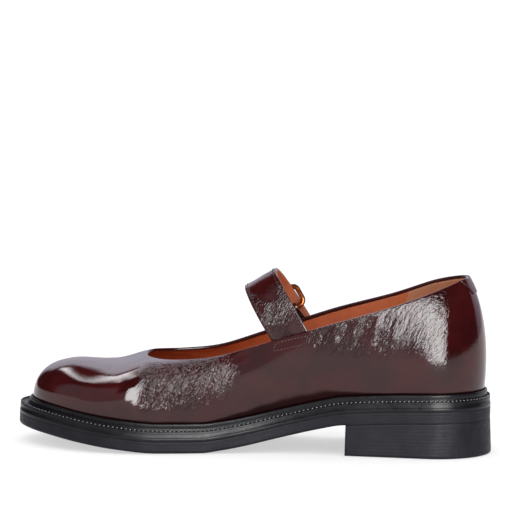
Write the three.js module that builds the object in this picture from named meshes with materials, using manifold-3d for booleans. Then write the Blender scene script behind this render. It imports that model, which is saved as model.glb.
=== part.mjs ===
// A women's mary jane shoe for the right foot, standing empty on its sole.
// Millimetres, z up, x towards the toe, y towards the inner side of the foot.
// The origin is at the bottom centre of the whole shoe.
import * as THREE from 'three';
import { mergeVertices } from 'three/addons/utils/BufferGeometryUtils.js';
import Module from 'manifold-3d';

const wasm = await Module();
wasm.setup();

// Space left between pieces that touch
const GAP = 0.3;

// Sole unit
const SOLE_LENGTH = 270;
const BALL_WIDTH = 98;
const OUTSOLE_THICKNESS = 6.5;
const OUTSOLE_EDGE_RADIUS = 1.4;
const WELT_THICKNESS = 6.2;
const WELT_EDGE_RADIUS = 0.9;
const WELT_PROJECTION = 7;
const RIB_HEIGHT = 3.4;
const RIB_THICKNESS = 1.5;
const INSOLE_THICKNESS = 2.6;
const INSOLE_EDGE_ROUND = 1.0;
const TOE_SPRING = 9.5;

// Heel
const HEEL_SEAT_HEIGHT = 20.3;
const HEEL_LENGTH = 82;
const HEEL_FLARE = 1.2;

// Upper
const UPPER_WALL = 1.8;
const BACK_HEIGHT = 67.6;
const THROAT_HEIGHT = 37.7;
const COLLAR_HALF_WIDTH = 30;
const COLLAR_TILT = 1.2;
const SWELL = 3.5;

// Soft dip across the vamp in front of the throat, where it bends in walking. at and
// reach are places along the sole.
const DIP_DEPTH = 3.1;
const DIP_AT = 217;
const DIP_REACH = 26;

// Heel tab, sewn on the outside of the upper at the back of the collar
const TAB_THICKNESS = 1.0;
const TAB_DEPTH = 9;
const TAB_HALF_TURN = 0.058;
const TAB_FOOT_HALF_TURN = 0.034;

// Strap over the instep. It crosses the collar at a share of a turn from the back
// and leans towards the toe by a number of degrees.
const STRAP_WIDTH = 20;
const STRAP_THICKNESS = 2.0;
const STRAP_TURN = 0.231;
const STRAP_LEAN = 32;
const STRAP_RISE = 33.5;
const STRAP_ANCHOR_DEPTH = 14;
const STRAP_ANCHOR_SPLAY = 0.6;
const STRAP_TIP_DEPTH = 16;
const STRAP_TIP_CLEARANCE = 0.1;
const STRAP_COLLAR_CLEARANCE = 1.2;
const STRAP_DRAW_IN_AT_BAR = 0.3;
const STRAP_DRAW_IN_AT_FRAME = 4.3;

// Buckle on the outer side, with the short strap that holds it
const FRAME_LENGTH = 11.5;
const FRAME_THICKNESS = 2.6;
const FRAME_WIRE = 3.0;
const FRAME_SIDE_CLEARANCE = 0.6;
const FRAME_CORNER_RADIUS = 4.5;
const FRAME_BEVEL = 0.7;
const BAR_WIDTH = 2.0;
const BAR_HEIGHT_ABOVE_COLLAR = 6.8;
const CHAPE_WIDTH = 14;
const CHAPE_THICKNESS = 2.1;
const CHAPE_ANCHOR_DEPTH = 12;
const CHAPE_SPLAY = 0.4;
const EYE_WALL = 1.1;
const PRONG_THICKNESS = 1.4;
const PRONG_WIDTH = 2.0;
const PRONG_STEP = 1.0;
const PRONG_OVERHANG = 1.6;

// Number of facets round the shoe and up the wall of the upper
const TURN_STEPS = 72;
const WALL_STEPS = 11;

// Outline of the sole seen from above, a row for each place along its length.
// centre and half are shares of the ball width, welt of the welt's projection.
const PLAN = [
  { along: 0.00, centre: 0.000, half: 0.338, welt: 0.58 },
  { along: 0.12, centre: 0.000, half: 0.342, welt: 0.54 },
  { along: 0.25, centre: -0.005, half: 0.334, welt: 0.50 },
  { along: 0.35, centre: -0.020, half: 0.334, welt: 0.52 },
  { along: 0.45, centre: -0.035, half: 0.357, welt: 0.62 },
  { along: 0.55, centre: -0.033, half: 0.410, welt: 0.80 },
  { along: 0.65, centre: -0.015, half: 0.465, welt: 0.93 },
  { along: 0.73, centre: -0.003, half: 0.496, welt: 0.96 },
  { along: 0.83, centre: 0.018, half: 0.511, welt: 0.99 },
  { along: 1.00, centre: 0.055, half: 0.490, welt: 1.06 },
];
// Lengths of the round back and front ends, as shares of the sole's length
const HEEL_ROUND = 0.13;
const TOE_ROUND = 0.28;

// Underside of the outsole seen from the side: heel is a share of the heel seat's
// height and toe a share of the toe spring, with the flat tread between the zeros.
const UNDERSIDE = [
  { along: 0.00, heel: 1.000, toe: 0 },
  { along: 0.15, heel: 0.965, toe: 0 },
  { along: 0.31, heel: 0.840, toe: 0 },
  { along: 0.36, heel: 0.705, toe: 0 },
  { along: 0.41, heel: 0.540, toe: 0 },
  { along: 0.46, heel: 0.370, toe: 0 },
  { along: 0.51, heel: 0.205, toe: 0 },
  { along: 0.56, heel: 0.075, toe: 0 },
  { along: 0.605, heel: 0, toe: 0 },
  { along: 0.695, heel: 0, toe: 0 },
  { along: 0.78, heel: 0, toe: 0.20 },
  { along: 0.86, heel: 0, toe: 0.50 },
  { along: 0.94, heel: 0, toe: 0.84 },
  { along: 1.00, heel: 0, toe: 1 },
];

// Collar of the upper, a row for every twentieth of a turn from the back (0) along
// one side to the toe (0.5). along is a share of the sole's length and side of the
// collar's half width. The height above the seat is quarter of the back height plus
// vamp of the throat height, and tilt raises the outer side and lowers the inner.
const COLLAR = [
  { along: 0.056, side: 0.00, quarter: 1.000, vamp: 0.000, tilt: 0.0 },
  { along: 0.068, side: 0.34, quarter: 0.992, vamp: 0.000, tilt: 0.2 },
  { along: 0.122, side: 0.68, quarter: 0.925, vamp: 0.000, tilt: 1.0 },
  { along: 0.211, side: 0.91, quarter: 0.804, vamp: 0.000, tilt: 0.8 },
  { along: 0.340, side: 1.00, quarter: 0.640, vamp: 0.100, tilt: 1.0 },
  { along: 0.480, side: 0.95, quarter: 0.330, vamp: 0.570, tilt: 0.5 },
  { along: 0.585, side: 0.85, quarter: 0.040, vamp: 1.000, tilt: 0.2 },
  { along: 0.655, side: 0.71, quarter: 0.000, vamp: 1.015, tilt: 0.5 },
  { along: 0.698, side: 0.52, quarter: 0.000, vamp: 1.005, tilt: 0.8 },
  { along: 0.723, side: 0.28, quarter: 0.000, vamp: 1.010, tilt: 0.7 },
  { along: 0.731, side: 0.00, quarter: 0.000, vamp: 1.005, tilt: 0.0 },
];

// Bend of the wall between feather line and collar at the same places. The flank is
// at rise of the wall's height above the feather line. The crown is at drop of it
// below the collar and at reach of the way outwards. swell is a share of the bulge.
const WALL = [
  { swell: 0.70, rise: 0.33, drop: 0.25, reach: 0.80 },
  { swell: 0.74, rise: 0.33, drop: 0.25, reach: 0.80 },
  { swell: 0.85, rise: 0.34, drop: 0.28, reach: 0.70 },
  { swell: 0.92, rise: 0.36, drop: 0.30, reach: 0.60 },
  { swell: 1.00, rise: 0.40, drop: 0.30, reach: 0.50 },
  { swell: 0.96, rise: 0.46, drop: 0.28, reach: 0.54 },
  { swell: 0.92, rise: 0.52, drop: 0.22, reach: 0.66 },
  { swell: 0.90, rise: 0.58, drop: 0.17, reach: 0.80 },
  { swell: 0.88, rise: 0.64, drop: 0.14, reach: 0.89 },
  { swell: 0.66, rise: 0.76, drop: 0.13, reach: 0.84 },
  { swell: 0.10, rise: 0.96, drop: 0.13, reach: 0.66 },
];

// Arch of the strap over the instep. out is a share of the way to its outer leg, or
// to its inner leg where it is negative, and up is a share of its rise.
const INSTEP = [
  { out: 0.64, up: 0.80 },
  { out: 0.34, up: 0.95 },
  { out: 0.00, up: 1.00 },
  { out: -0.38, up: 0.95 },
  { out: -0.72, up: 0.78 },
  { out: -0.94, up: 0.48 },
];

// Value of one column at a place along the sole, smooth and without overshoot
function readColumn(table, column, along) {
  const place = Math.min(Math.max(along, 0), 1);
  const slope = (i) => {
    if (i === 0 || i === table.length - 1) return 0;
    const before = (table[i][column] - table[i - 1][column]) / (table[i].along - table[i - 1].along);
    const after = (table[i + 1][column] - table[i][column]) / (table[i + 1].along - table[i].along);
    return before * after > 0 ? (2 * before * after) / (before + after) : 0;
  };
  const next = Math.max(table.findIndex((row) => row.along >= place), 1);
  const [low, high] = [table[next - 1], table[next]];
  const span = high.along - low.along;
  const t = (place - low.along) / span;
  const rising = t * t * (3 - 2 * t);
  return low[column] * (1 - rising) + high[column] * rising
    + span * t * (1 - t) * ((1 - t) * slope(next - 1) - t * slope(next));
}

// Outline of the sole. A turn runs from the back (0) along the inner side to the
// toe (0.5) and along the outer side to the back again (1).
function roundEnd(distance, length) {
  const missing = Math.max(0, 1 - distance / length);
  return Math.sqrt(Math.max(0, 1 - missing * missing));
}

function outlinePoint(turn) {
  const along = (1 - Math.cos(2 * Math.PI * turn)) / 2;
  const side = Math.sign(Math.sin(2 * Math.PI * turn));
  const half = readColumn(PLAN, 'half', along)
    * roundEnd(along, HEEL_ROUND) * roundEnd(1 - along, TOE_ROUND);
  const across = readColumn(PLAN, 'centre', along) + side * half;
  return new THREE.Vector3(along * SOLE_LENGTH, across * BALL_WIDTH, 0);
}

function outlineNormal(turn) {
  const step = 0.5 / TURN_STEPS;
  const run = outlinePoint(turn + step).sub(outlinePoint(turn - step));
  return new THREE.Vector3(-run.y, run.x, 0).normalize();
}

function insetOutline(turn, inset) {
  return outlinePoint(turn).addScaledVector(outlineNormal(turn), -inset);
}

function weltProjection(turn) {
  const along = outlinePoint(turn).x / SOLE_LENGTH;
  return WELT_PROJECTION * readColumn(PLAN, 'welt', along);
}

// Heights above the floor at a place x along the sole
function undersideHeight(x) {
  const along = x / SOLE_LENGTH;
  return HEEL_SEAT_HEIGHT * readColumn(UNDERSIDE, 'heel', along)
    + TOE_SPRING * readColumn(UNDERSIDE, 'toe', along);
}

function seatHeight(x) {
  return undersideHeight(x) + OUTSOLE_THICKNESS + GAP + WELT_THICKNESS;
}

// The upper's outer face is a smooth strip between four loops round the shoe:
// the feather line, the flank and crown that shape the wall, and the collar.
function featherPoint(turn) {
  const point = insetOutline(turn, weltProjection(turn));
  point.z = seatHeight(point.x) + GAP;
  return point;
}

const ROWS_ROUND = 2 * (COLLAR.length - 1);
const rowsRound = Array.from({ length: ROWS_ROUND }, (_, i) => {
  const row = Math.min(i, ROWS_ROUND - i);
  const [edge, bend] = [COLLAR[row], WALL[row]];
  const side = i < COLLAR.length ? 1 : -1;
  const x = edge.along * SOLE_LENGTH;
  const height = edge.quarter * BACK_HEIGHT + edge.vamp * THROAT_HEIGHT - side * edge.tilt * COLLAR_TILT;
  const collar = new THREE.Vector3(x, side * edge.side * COLLAR_HALF_WIDTH, seatHeight(x) + height);
  const feather = featherPoint(i / ROWS_ROUND);
  const rise = collar.z - feather.z;
  const bulge = outlineNormal(i / ROWS_ROUND).multiplyScalar(bend.swell * SWELL);
  const flank = feather.clone().add(bulge).setZ(feather.z + bend.rise * rise);
  const crown = collar.clone().lerp(feather, bend.reach).add(bulge).setZ(collar.z - bend.drop * rise);
  return { collar, flank, crown };
});

const [flankLoop, crownLoop, collarLoop] = ['flank', 'crown', 'collar'].map(
  (name) => new THREE.CatmullRomCurve3(rowsRound.map((row) => row[name]), true),
);

function onWall(turn, share) {
  const t = ((turn % 1) + 1) % 1;
  const across = new THREE.CubicBezierCurve3(
    featherPoint(t), flankLoop.getPoint(t), crownLoop.getPoint(t), collarLoop.getPoint(t),
  );
  const point = across.getPoint(share);
  const off = Math.min(Math.abs(point.x - DIP_AT) / DIP_REACH, 1);
  point.z -= DIP_DEPTH * share * (2 - share) * Math.cos((Math.PI / 2) * off) ** 2;
  return point;
}

// A point of the wall moved outwards, or inwards where the distance is negative
function offWall(turn, share, distance) {
  const step = 0.25 / TURN_STEPS;
  const [low, high] = [Math.max(share - step, 0), Math.min(share + step, 1)];
  const round = onWall(turn + step, share).sub(onWall(turn - step, share));
  const up = onWall(turn, high).sub(onWall(turn, low));
  const normal = share === 0 ? outlineNormal(turn) : up.cross(round).normalize();
  return onWall(turn, share).addScaledVector(normal, distance);
}

// Share of the wall at which it has risen to a height above the feather line
function shareAtRise(turn, rise) {
  let [low, high] = [0, 1];
  for (let i = 0; i < 24; i += 1) {
    const middle = (low + high) / 2;
    if (onWall(turn, middle).z - featherPoint(turn).z < rise) low = middle;
    else high = middle;
  }
  return low;
}

// Solids
const turns = Array.from({ length: TURN_STEPS }, (_, i) => (i + 0.5) / TURN_STEPS);

function signedVolume(position, index) {
  const [a, b, c] = [new THREE.Vector3(), new THREE.Vector3(), new THREE.Vector3()];
  let sum = 0;
  for (let i = 0; i < index.length; i += 3) {
    a.fromArray(position, 3 * index[i]);
    b.fromArray(position, 3 * index[i + 1]);
    c.fromArray(position, 3 * index[i + 2]);
    sum += a.dot(b.cross(c));
  }
  return sum / 6;
}

// A solid whose skin runs from ring to ring. The last ring joins the first, or the
// first and last are closed by strips between the points i and n - 1 - i.
function ringSolid(rings, joined = false) {
  const n = rings[0].length;
  const index = [];
  const quad = (a, b, c, d) => index.push(a, b, c, a, c, d);
  const pairs = joined ? rings.length : rings.length - 1;
  for (let k = 0; k < pairs; k += 1) {
    const [here, there] = [k * n, ((k + 1) % rings.length) * n];
    for (let i = 0; i < n; i += 1) {
      const j = (i + 1) % n;
      quad(here + i, here + j, there + j, there + i);
    }
  }
  if (!joined) {
    const last = (rings.length - 1) * n;
    for (let i = 0; i < n / 2 - 1; i += 1) {
      quad(n - 1 - i, n - 2 - i, i + 1, i);
      quad(last + i, last + i + 1, last + n - 2 - i, last + n - 1 - i);
    }
  }
  const position = rings.flat().flatMap((point) => point.toArray());
  if (signedVolume(position, index) < 0) index.reverse();
  const geometry = new THREE.BufferGeometry();
  geometry.setAttribute('position', new THREE.Float32BufferAttribute(position, 3));
  geometry.setIndex(index);
  return geometry;
}

function toManifold(geometry) {
  const bare = geometry.clone();
  bare.deleteAttribute('normal');
  bare.deleteAttribute('uv');
  const merged = mergeVertices(bare, 1e-4);
  return new wasm.Manifold(new wasm.Mesh({
    numProp: 3,
    vertProperties: new Float32Array(merged.attributes.position.array),
    triVerts: new Uint32Array(merged.index.array),
  }));
}

function toGeometry(solid) {
  const mesh = solid.getMesh();
  const geometry = new THREE.BufferGeometry();
  geometry.setAttribute('position', new THREE.BufferAttribute(mesh.vertProperties, 3));
  geometry.setIndex(new THREE.BufferAttribute(mesh.triVerts, 1));
  return geometry;
}

// Sole pieces
function soleRing(inset, height, around = turns) {
  return around.map((turn) => {
    const point = insetOutline(turn, inset);
    return point.setZ(height(point.x));
  });
}

function outsole() {
  const radius = OUTSOLE_EDGE_RADIUS;
  const level = (above) => (x) => undersideHeight(x) + above;
  return ringSolid([
    soleRing(radius, level(0)),
    soleRing(radius / 3, level(radius / 3)),
    soleRing(0, level(radius)),
    soleRing(0, level(OUTSOLE_THICKNESS - radius / 2)),
    soleRing(radius / 2, level(OUTSOLE_THICKNESS)),
  ]);
}

function heelBlock() {
  const steps = TURN_STEPS / 2;
  const breastTurn = Math.acos(1 - (2 * HEEL_LENGTH) / SOLE_LENGTH) / (2 * Math.PI);
  const around = Array.from({ length: steps }, (_, i) => breastTurn * (1 - (2 * i) / (steps - 1)));
  const under = (x) => undersideHeight(x) - GAP;
  return ringSolid([
    soleRing(-HEEL_FLARE, () => 0, around),
    soleRing(-HEEL_FLARE / 3, (x) => under(x) / 2, around),
    soleRing(0, under, around),
  ]);
}

function welt() {
  const radius = WELT_EDGE_RADIUS;
  const bottom = (x) => undersideHeight(x) + OUTSOLE_THICKNESS + GAP;
  const ribFoot = (turn) => weltProjection(turn) - GAP - RIB_THICKNESS;
  const ribSide = (turn, height, out) => {
    const point = offWall(turn, shareAtRise(turn, height), GAP + out);
    return point.setZ(seatHeight(point.x) + height);
  };
  return ringSolid([
    soleRing(radius, bottom),
    soleRing(0, (x) => bottom(x) + radius),
    soleRing(0, (x) => seatHeight(x) - 2 * radius),
    soleRing(radius, (x) => seatHeight(x) - radius),
    turns.map((turn) => {
      const point = insetOutline(turn, ribFoot(turn));
      return point.setZ(seatHeight(point.x));
    }),
    turns.map((turn) => ribSide(turn, RIB_HEIGHT, RIB_THICKNESS)),
    turns.map((turn) => ribSide(turn, RIB_HEIGHT, 0)),
    turns.map((turn) => {
      const point = offWall(turn, 0, GAP);
      return point.setZ(seatHeight(point.x));
    }),
  ]);
}

function insole() {
  const rim = (inset, above) => turns.map((turn) => {
    const point = insetOutline(turn, weltProjection(turn) + UPPER_WALL + 2 * GAP + inset);
    return point.setZ(seatHeight(point.x) + above);
  });
  return ringSolid([
    rim(0, GAP),
    rim(0, GAP + INSOLE_THICKNESS - INSOLE_EDGE_ROUND),
    rim(INSOLE_EDGE_ROUND, GAP + INSOLE_THICKNESS),
  ]);
}

// Upper
function upper() {
  const shares = Array.from({ length: WALL_STEPS + 1 }, (_, i) => i / WALL_STEPS);
  const outer = shares.map((share) => turns.map((turn) => offWall(turn, share, 0)));
  const inner = shares.map((share) => turns.map((turn) => offWall(turn, share, -UPPER_WALL)));
  return ringSolid([...outer, ...inner.reverse()], true);
}

function heelTab() {
  const columns = 12;
  const rows = 3;
  const low = shareAtRise(0, onWall(0, 1).z - featherPoint(0).z - TAB_DEPTH);
  return ringSolid(Array.from({ length: columns + 1 }, (_, i) => {
    const side = (2 * i) / columns - 1;
    const place = (k, distance) => {
      const turn = side * (TAB_FOOT_HALF_TURN + ((TAB_HALF_TURN - TAB_FOOT_HALF_TURN) * k) / rows);
      return offWall(turn, low + ((1 - low) * k) / rows, distance);
    };
    const face = (distance) => Array.from({ length: rows + 1 }, (__, k) => place(k, distance));
    return [...face(GAP + TAB_THICKNESS), ...face(GAP).reverse()];
  }));
}

// The strap and buckle are drawn in the plane that the strap's loop lies in, which
// leans towards the toe: first outwards on the outer side of the foot, then up the
// leg of the strap from the collar, then across its width towards the heel.
const innerCollar = collarLoop.getPoint(STRAP_TURN);
const outerCollar = collarLoop.getPoint(1 - STRAP_TURN);
const lean = THREE.MathUtils.degToRad(STRAP_LEAN);
const strapPlane = new THREE.Matrix4().makeBasis(
  new THREE.Vector3(0, -1, 0),
  new THREE.Vector3(Math.sin(lean), 0, Math.cos(lean)),
  new THREE.Vector3(-Math.cos(lean), 0, Math.sin(lean)),
).setPosition((innerCollar.x + outerCollar.x) / 2, 0, (innerCollar.z + outerCollar.z) / 2);

const halfStrap = STRAP_THICKNESS / 2;
const insideAt = innerCollar.y - UPPER_WALL - GAP - halfStrap;
const outsideAt = -outerCollar.y + GAP + halfStrap;
const strapAtBar = new THREE.Vector2(outsideAt - STRAP_DRAW_IN_AT_BAR, BAR_HEIGHT_ABOVE_COLLAR);
const strapAtEnd = new THREE.Vector2(
  outsideAt - STRAP_DRAW_IN_AT_FRAME, BAR_HEIGHT_ABOVE_COLLAR + FRAME_LENGTH,
);

// The tip lies on the outer wall, which bulges below the collar
function tipOut() {
  const turn = 1 - STRAP_TURN;
  const tipHeight = outerCollar.z - STRAP_TIP_DEPTH * Math.cos(lean);
  const share = shareAtRise(turn, tipHeight - featherPoint(turn).z);
  return -offWall(turn, share, GAP + halfStrap).y + STRAP_TIP_CLEARANCE;
}

// Middle line of the strap, from its tip over the instep to the inner quarter
const strapLine = new THREE.SplineCurve([
  new THREE.Vector2(tipOut(), -STRAP_TIP_DEPTH),
  new THREE.Vector2(outsideAt + STRAP_COLLAR_CLEARANCE, 0),
  strapAtBar,
  strapAtEnd,
  ...INSTEP.map((place) => new THREE.Vector2(
    place.out * (place.out > 0 ? outsideAt : insideAt), place.up * STRAP_RISE,
  )),
  new THREE.Vector2(-insideAt, BAR_HEIGHT_ABOVE_COLLAR),
  new THREE.Vector2(-insideAt, 0),
  new THREE.Vector2(-insideAt - STRAP_ANCHOR_SPLAY, -STRAP_ANCHOR_DEPTH),
]);

function band() {
  const steps = 44;
  return ringSolid(Array.from({ length: steps + 1 }, (_, i) => {
    const middle = strapLine.getPoint(i / steps);
    const run = strapLine.getTangent(i / steps);
    const corner = (side, edge) => new THREE.Vector3(
      middle.x - run.y * side * halfStrap,
      middle.y + run.x * side * halfStrap,
      (edge * STRAP_WIDTH) / 2,
    );
    return [corner(1, 1), corner(1, -1), corner(-1, -1), corner(-1, 1)];
  }));
}

// The shell that the strap and chape stay out of where they lie on the upper. The
// hollow taken out of it runs on above the collar, so that its mouth is open.
function wallKeepOut() {
  const shares = Array.from({ length: WALL_STEPS + 1 }, (_, i) => i / WALL_STEPS);
  const face = (distance) => shares.map(
    (share) => turns.map((turn) => offWall(turn, share, distance)),
  );
  const hollow = face(-UPPER_WALL - GAP);
  const mouth = hollow.at(-1).map((point) => point.clone().setZ(point.z + BACK_HEIGHT));
  return toManifold(ringSolid(face(GAP))).subtract(toManifold(ringSolid([...hollow, mouth])));
}

const keepOut = wallKeepOut();

// A cylinder across the strap's width, at a place in the plane of its loop
function rodAcross(radius, length, out, up) {
  const sides = 20;
  return new THREE.CylinderGeometry(radius, radius, length, sides)
    .rotateX(Math.PI / 2).translate(out, up, 0);
}

// A flat piece drawn in the plane of the loop and as thick as width
function plateAcross(points, width) {
  return new THREE.ExtrudeGeometry(new THREE.Shape(points), { depth: width, bevelEnabled: false })
    .translate(0, 0, -width / 2);
}

function stripBetween(start, end, thickness, width) {
  const side = end.clone().sub(start).normalize().rotateAround(new THREE.Vector2(), Math.PI / 2)
    .multiplyScalar(thickness / 2);
  const corners = [
    start.clone().sub(side), end.clone().sub(side), end.clone().add(side), start.clone().add(side),
  ];
  return plateAcross(corners, width);
}

// The chape's eye turns on the bar, just inside the strap. The prong has an eye of the
// same size, and runs from there through the strap and over the frame's end.
const eyeBore = BAR_WIDTH / Math.SQRT2 + GAP;
const eyeRadius = eyeBore + EYE_WALL;
const bar = strapAtBar.clone().setX(strapAtBar.x - halfStrap - 2 * GAP - eyeRadius);
const prongBend = new THREE.Vector2(
  strapAtBar.x + halfStrap + GAP + PRONG_THICKNESS, strapAtBar.y + PRONG_STEP,
);
const frameEnd = strapAtEnd.clone().setX(
  strapAtEnd.x + halfStrap + 4 * GAP + FRAME_THICKNESS / 2,
);
const prongTip = new THREE.Vector2(
  frameEnd.x + FRAME_THICKNESS / 2 + 2 * GAP + PRONG_THICKNESS / 2, frameEnd.y + PRONG_OVERHANG,
);

function prongSolid(extra) {
  const thickness = PRONG_THICKNESS + 2 * extra;
  const width = PRONG_WIDTH + 2 * extra;
  const shank = toManifold(stripBetween(bar, prongBend, thickness, width));
  const elbow = toManifold(rodAcross(thickness / 2, width, prongBend.x, prongBend.y));
  const tongue = toManifold(stripBetween(prongBend, prongTip, thickness, width));
  const nose = toManifold(rodAcross(thickness / 2, width, prongTip.x, prongTip.y));
  const eye = toManifold(rodAcross(eyeRadius + extra, width, bar.x, bar.y));
  return shank.add(elbow).add(tongue).add(nose).add(eye);
}

function boreSolid() {
  return toManifold(rodAcross(eyeBore, 2 * STRAP_WIDTH, bar.x, bar.y));
}

function strap() {
  const cut = toManifold(band()).subtract(prongSolid(GAP));
  return toManifold(toGeometry(cut).applyMatrix4(strapPlane)).subtract(keepOut);
}

function chape() {
  const foot = new THREE.Vector2(bar.x + CHAPE_SPLAY, -CHAPE_ANCHOR_DEPTH);
  const tongue = toManifold(stripBetween(foot, bar, CHAPE_THICKNESS, CHAPE_WIDTH));
  const eye = toManifold(rodAcross(eyeRadius, CHAPE_WIDTH, bar.x, bar.y));
  const slotEnd = new THREE.Vector2(bar.x, bar.y - eyeRadius - GAP);
  const slot = toManifold(stripBetween(
    slotEnd, new THREE.Vector2(bar.x, bar.y + 2 * eyeRadius), 4 * eyeRadius, PRONG_WIDTH + 2 * GAP,
  ));
  const cut = tongue.add(eye).subtract(boreSolid()).subtract(slot);
  return toManifold(toGeometry(cut).applyMatrix4(strapPlane)).subtract(keepOut);
}

function buckleFrame() {
  const half = STRAP_WIDTH / 2 + FRAME_SIDE_CLEARANCE;
  const length = frameEnd.distanceTo(bar);
  const rounded = (shape, width, low, high, radius) => {
    shape.moveTo(-width + radius, low);
    shape.lineTo(width - radius, low);
    shape.absarc(width - radius, low + radius, radius, -Math.PI / 2, 0);
    shape.lineTo(width, high - radius);
    shape.absarc(width - radius, high - radius, radius, 0, Math.PI / 2);
    shape.lineTo(-width + radius, high);
    shape.absarc(-width + radius, high - radius, radius, Math.PI / 2, Math.PI);
    shape.lineTo(-width, low + radius);
    shape.absarc(-width + radius, low + radius, radius, Math.PI, 1.5 * Math.PI);
    return shape;
  };
  const bevel = FRAME_BEVEL;
  const outline = rounded(
    new THREE.Shape(), half + FRAME_WIRE - bevel,
    -BAR_WIDTH / 2 + bevel, length + FRAME_WIRE / 2 - bevel, FRAME_CORNER_RADIUS,
  );
  outline.holes.push(rounded(
    new THREE.Path(), half + bevel,
    BAR_WIDTH / 2 - bevel, length - FRAME_WIRE / 2 + bevel, FRAME_CORNER_RADIUS - FRAME_WIRE + bevel,
  ));
  const ring = new THREE.ExtrudeGeometry(outline, {
    depth: FRAME_THICKNESS - 2 * bevel,
    bevelThickness: bevel,
    bevelSize: bevel,
    bevelSegments: 2,
    curveSegments: 5,
  }).translate(0, 0, -FRAME_THICKNESS / 2 + bevel);
  const along = new THREE.Vector3(frameEnd.x - bar.x, frameEnd.y - bar.y, 0).normalize();
  const across = new THREE.Vector3(0, 0, -1);
  const place = new THREE.Matrix4()
    .makeBasis(across, along, across.clone().cross(along))
    .setPosition(bar.x, bar.y, 0);
  return ring.applyMatrix4(place).applyMatrix4(strapPlane);
}

function buckleProng() {
  return toGeometry(prongSolid(0).subtract(boreSolid())).applyMatrix4(strapPlane);
}

const group = new THREE.Group();

function add(name, geometry, colour, roughness, metalness = 0) {
  const material = new THREE.MeshStandardMaterial({ color: colour, roughness, metalness });
  const mesh = new THREE.Mesh(geometry, material);
  mesh.name = name;
  group.add(mesh);
}

add('outsole', outsole(), 0x232326, 0.5);
add('heel_block', heelBlock(), 0x232326, 0.5);
add('welt', welt(), 0x1e1e21, 0.45);
add('insole', insole(), 0xb9744a, 0.7);
add('upper', upper(), 0x4a2024, 0.15);
add('heel_tab', heelTab(), 0x4a2024, 0.15);
add('strap', toGeometry(strap()), 0x4a2024, 0.15);
add('chape', toGeometry(chape()), 0x3a1a1c, 0.3);
add('buckle_frame', buckleFrame(), 0xb8863f, 0.25, 1);
add('buckle_prong', buckleProng(), 0xb8863f, 0.25, 1);

const box = new THREE.Box3().setFromObject(group);
const centre = box.getCenter(new THREE.Vector3());
group.position.set(-centre.x, -centre.y, -box.min.z);

export default group;
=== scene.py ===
"""A women's mary jane shoe for the right foot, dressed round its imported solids.

Shapes are worked out in millimetres: x from the back of the sole to the toe, y to the
inner side of the foot, z up. place() turns them into the row frame in metres.
"""
import math

import bpy
import numpy as np
from mathutils import Matrix, Vector

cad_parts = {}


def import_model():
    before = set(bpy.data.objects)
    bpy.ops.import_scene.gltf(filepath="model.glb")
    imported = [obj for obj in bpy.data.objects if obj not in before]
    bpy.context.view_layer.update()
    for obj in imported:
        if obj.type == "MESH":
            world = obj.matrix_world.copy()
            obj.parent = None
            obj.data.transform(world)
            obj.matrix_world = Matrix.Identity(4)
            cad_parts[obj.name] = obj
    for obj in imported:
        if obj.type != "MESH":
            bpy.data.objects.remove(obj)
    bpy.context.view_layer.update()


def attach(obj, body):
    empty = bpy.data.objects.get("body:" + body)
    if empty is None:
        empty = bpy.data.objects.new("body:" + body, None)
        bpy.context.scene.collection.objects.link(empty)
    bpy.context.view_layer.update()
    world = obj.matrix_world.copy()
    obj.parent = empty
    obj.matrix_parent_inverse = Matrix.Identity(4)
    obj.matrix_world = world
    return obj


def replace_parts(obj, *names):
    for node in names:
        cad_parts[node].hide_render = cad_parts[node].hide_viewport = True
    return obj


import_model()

# Centre of the sole in the shapes' own coordinates
SHIFT = np.array([-134.375, -0.117, 0.0])

GAP = 0.3
SOLE_LENGTH = 270.0
BALL_WIDTH = 98.0
OUTSOLE_THICKNESS = 6.5
WELT_THICKNESS = 6.2
WELT_PROJECTION = 7.0
RIB_HEIGHT = 3.4
RIB_THICKNESS = 1.5
INSOLE_THICKNESS = 2.6
TOE_SPRING = 9.5
HEEL_SEAT_HEIGHT = 20.3
HEEL_LENGTH = 82.0
HEEL_FLARE = 1.2
UPPER_WALL = 1.8
BACK_HEIGHT = 67.6
THROAT_HEIGHT = 37.7
COLLAR_HALF_WIDTH = 30.0
COLLAR_TILT = 1.2
SWELL = 3.5
DIP_DEPTH = 3.1
DIP_AT = 217.0
DIP_REACH = 26.0
TAB_THICKNESS = 1.0
TAB_DEPTH = 9.0
TAB_HALF_TURN = 0.058
TAB_FOOT_HALF_TURN = 0.034
STRAP_WIDTH = 20.0
STRAP_THICKNESS = 2.0
STRAP_TURN = 0.231
STRAP_LEAN = math.radians(32)
STRAP_RISE = 33.5
STRAP_ANCHOR_DEPTH = 14.0
STRAP_TIP_DEPTH = 16.0
BAR_UP = 6.8
FRAME_LENGTH = 11.5
HEEL_ROUND = 0.13
TOE_ROUND = 0.28
NORMAL_STEP = 0.5 / 72

# along, centre, half, welt
PLAN = np.array([
    (0.00, 0.000, 0.338, 0.58), (0.12, 0.000, 0.342, 0.54), (0.25, -0.005, 0.334, 0.50),
    (0.35, -0.020, 0.334, 0.52), (0.45, -0.035, 0.357, 0.62), (0.55, -0.033, 0.410, 0.80),
    (0.65, -0.015, 0.465, 0.93), (0.73, -0.003, 0.496, 0.96), (0.83, 0.018, 0.511, 0.99),
    (1.00, 0.055, 0.490, 1.06),
])
# along, heel, toe
UNDERSIDE = np.array([
    (0.00, 1.000, 0), (0.15, 0.965, 0), (0.31, 0.840, 0), (0.36, 0.705, 0),
    (0.41, 0.540, 0), (0.46, 0.370, 0), (0.51, 0.205, 0), (0.56, 0.075, 0),
    (0.605, 0, 0), (0.695, 0, 0), (0.78, 0, 0.20), (0.86, 0, 0.50), (0.94, 0, 0.84),
    (1.00, 0, 1),
])
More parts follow.
